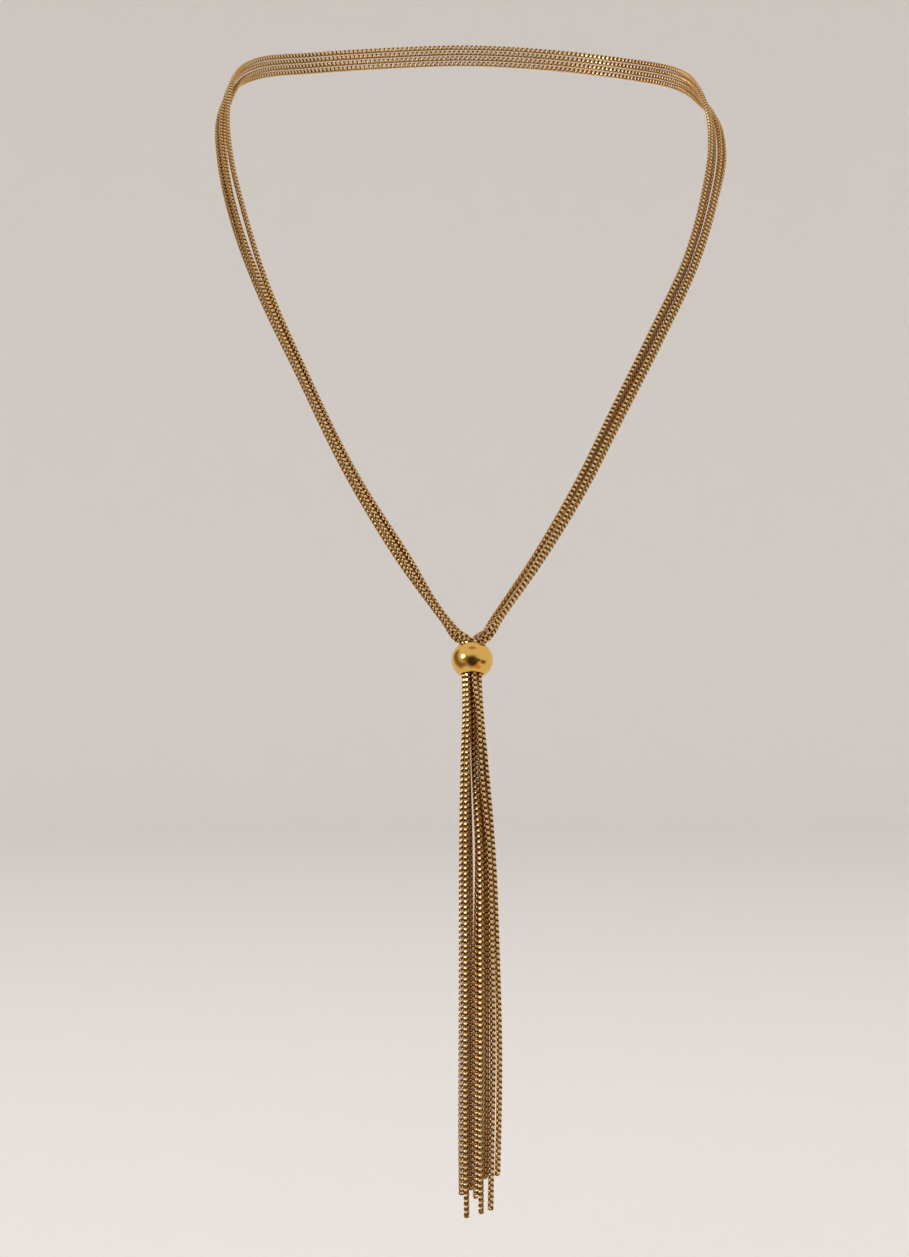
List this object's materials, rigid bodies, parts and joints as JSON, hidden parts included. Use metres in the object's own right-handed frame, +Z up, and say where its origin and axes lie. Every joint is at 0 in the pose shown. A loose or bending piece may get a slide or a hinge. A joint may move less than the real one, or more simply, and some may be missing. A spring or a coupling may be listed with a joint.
{
  "type": "tassel necklace",
  "caption": "Y-shaped necklace of fine box chains that run side by side round the neck, pass together through a round slider ball and hang below it as a tassel of plain cut chain ends.",
  "frame": {"origin": "the nape: the inner face of the band of chains at the middle of the back of the neck, halfway up the band", "axes": "+Z up, -Y to the wearer's front, +X to the wearer's left"},
  "size_m": [0.1339, 0.166, 0.3014],
  "materials": {
    "chain_gold": "bright gold-plated box chain, burnished faces with dark recesses",
    "ball_gold": "mirror-polished yellow gold plate"
  },
  "bodies": {
    "root": {"slider_ball": "ball_gold", "chain_1": "chain_gold", "chain_2": "chain_gold", "chain_3": "chain_gold", "chain_4": "chain_gold"}
  },
  "joints": []
}
